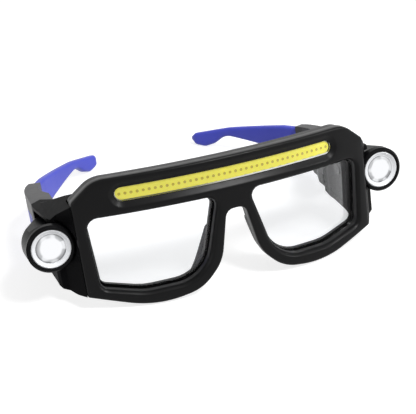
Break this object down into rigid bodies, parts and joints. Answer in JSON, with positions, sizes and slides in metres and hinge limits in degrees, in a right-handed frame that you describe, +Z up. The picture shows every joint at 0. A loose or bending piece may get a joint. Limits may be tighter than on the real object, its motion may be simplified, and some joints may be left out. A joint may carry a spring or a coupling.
{
  "type": "led glasses",
  "caption": "Work glasses with clear lenses, a light strip across the brow, a tilting lamp pod at each side and folding temples with soft blue ear arms.",
  "frame": {"origin": "middle of the box's bottom, on the table that the glasses stand on", "axes": "+X to the wearer's left, +Y from the front towards the ears, +Z up; the glasses stand on the rims and ear arms, so the front leans back from upright"},
  "size_m": [0.1822, 0.1563, 0.0602],
  "materials": {
    "frame_black": "satin, fine grain",
    "lens_clear": "clear polished",
    "strip_clear": "clear moulded cover",
    "phosphor_yellow": "smooth resin, yellow",
    "chip_olive": "small dark yellow chips",
    "board_metal": "bright sheet",
    "board_green": "printed circuit board",
    "battery_foil": "foil pouch",
    "steel": "plain steel",
    "black_steel": "blackened screw",
    "flap_rubber": "soft, matte",
    "pad_rubber": "soft, matte grey",
    "temple_grey": "satin, fine grain",
    "arm_blue": "soft blue, semi matte",
    "lamp_grey": "satin",
    "trim_white": "white, glossy",
    "lamp_clear": "clear moulded lens",
    "emitter_yellow": "resin over the chip",
    "heat_metal": "turned and slotted",
    "button_grey": "soft key"
  },
  "bodies": {
    "frame": {"front_shell": "frame_black", "rear_shell": "frame_black", "right_lens": "lens_clear", "left_lens": "lens_clear", "right_lens_retainer": "frame_black", "left_lens_retainer": "frame_black", "strip_window": "strip_clear", "strip_phosphor": "phosphor_yellow", "strip_chips": "chip_olive", "strip_board": "board_metal", "driver_board": "board_green", "right_battery": "battery_foil", "left_battery": "battery_foil", "charging_socket": "steel", "shell_screws": "steel", "right_nose_pad": "pad_rubber", "left_nose_pad": "pad_rubber", "right_end_piece": "frame_black", "left_end_piece": "frame_black", "right_hinge_pin": "steel", "left_hinge_pin": "steel"},
    "right_temple": {"right_temple_front": "temple_grey", "right_temple_arm": "arm_blue", "right_temple_screw": "steel"},
    "right_lamp": {"right_lamp_housing": "lamp_grey", "right_lamp_bezel": "lamp_grey", "right_lamp_trim": "trim_white", "right_lamp_lens": "lamp_clear", "right_lamp_emitter": "emitter_yellow", "right_lamp_board": "board_metal", "right_heat_sink": "heat_metal", "right_lamp_pivot": "black_steel", "right_friction_washer": "steel", "right_lamp_switch": "steel"},
    "right_button": {"right_lamp_button": "button_grey"},
    "left_temple": {"left_temple_front": "temple_grey", "left_temple_arm": "arm_blue", "left_temple_screw": "steel"},
    "left_lamp": {"left_lamp_housing": "lamp_grey", "left_lamp_bezel": "lamp_grey", "left_lamp_trim": "trim_white", "left_lamp_lens": "lamp_clear", "left_lamp_emitter": "emitter_yellow", "left_lamp_board": "board_metal", "left_heat_sink": "heat_metal", "left_lamp_pivot": "black_steel", "left_friction_washer": "steel", "left_lamp_switch": "steel"},
    "left_button": {"left_lamp_button": "button_grey"},
    "flap": {"charging_flap": "flap_rubber"}
  },
  "joints": [
    {"name": "right_temple_fold", "type": "hinge", "parent": "frame", "child": "right_temple", "pos_m": [-0.07, -0.02221, 0.02304], "axis": [0, -0.1956, -0.9807], "range_deg": [0, 57]},
    {"name": "left_temple_fold", "type": "hinge", "parent": "frame", "child": "left_temple", "pos_m": [0.07, -0.02221, 0.02304], "axis": [0, 0.1956, 0.9807], "range_deg": [0, 84]},
    {"name": "right_lamp_tilt", "type": "hinge", "parent": "frame", "child": "right_lamp", "pos_m": [-0.072, -0.04281, 0.02715], "axis": [-1, 0, 0], "range_deg": [0, 5]},
    {"name": "left_lamp_tilt", "type": "hinge", "parent": "frame", "child": "left_lamp", "pos_m": [0.072, -0.04281, 0.02715], "axis": [-1, 0, 0], "range_deg": [0, 5]},
    {"name": "right_button_press", "type": "slide", "parent": "right_lamp", "child": "right_button", "axis": [0, 0.1956, 0.9807], "range_m": [0, 0.0007], "stiffness_N_per_m": 600, "springref_m": -0.0005},
    {"name": "left_button_press", "type": "slide", "parent": "left_lamp", "child": "left_button", "axis": [0, 0.1956, 0.9807], "range_m": [0, 0.0007], "stiffness_N_per_m": 600, "springref_m": -0.0005},
    {"name": "flap_open", "type": "hinge", "parent": "frame", "child": "flap", "pos_m": [0.0161, -0.0594, 0.05045], "axis": [0, -0.1956, -0.9807], "range_deg": [0, 100]}
  ]
}
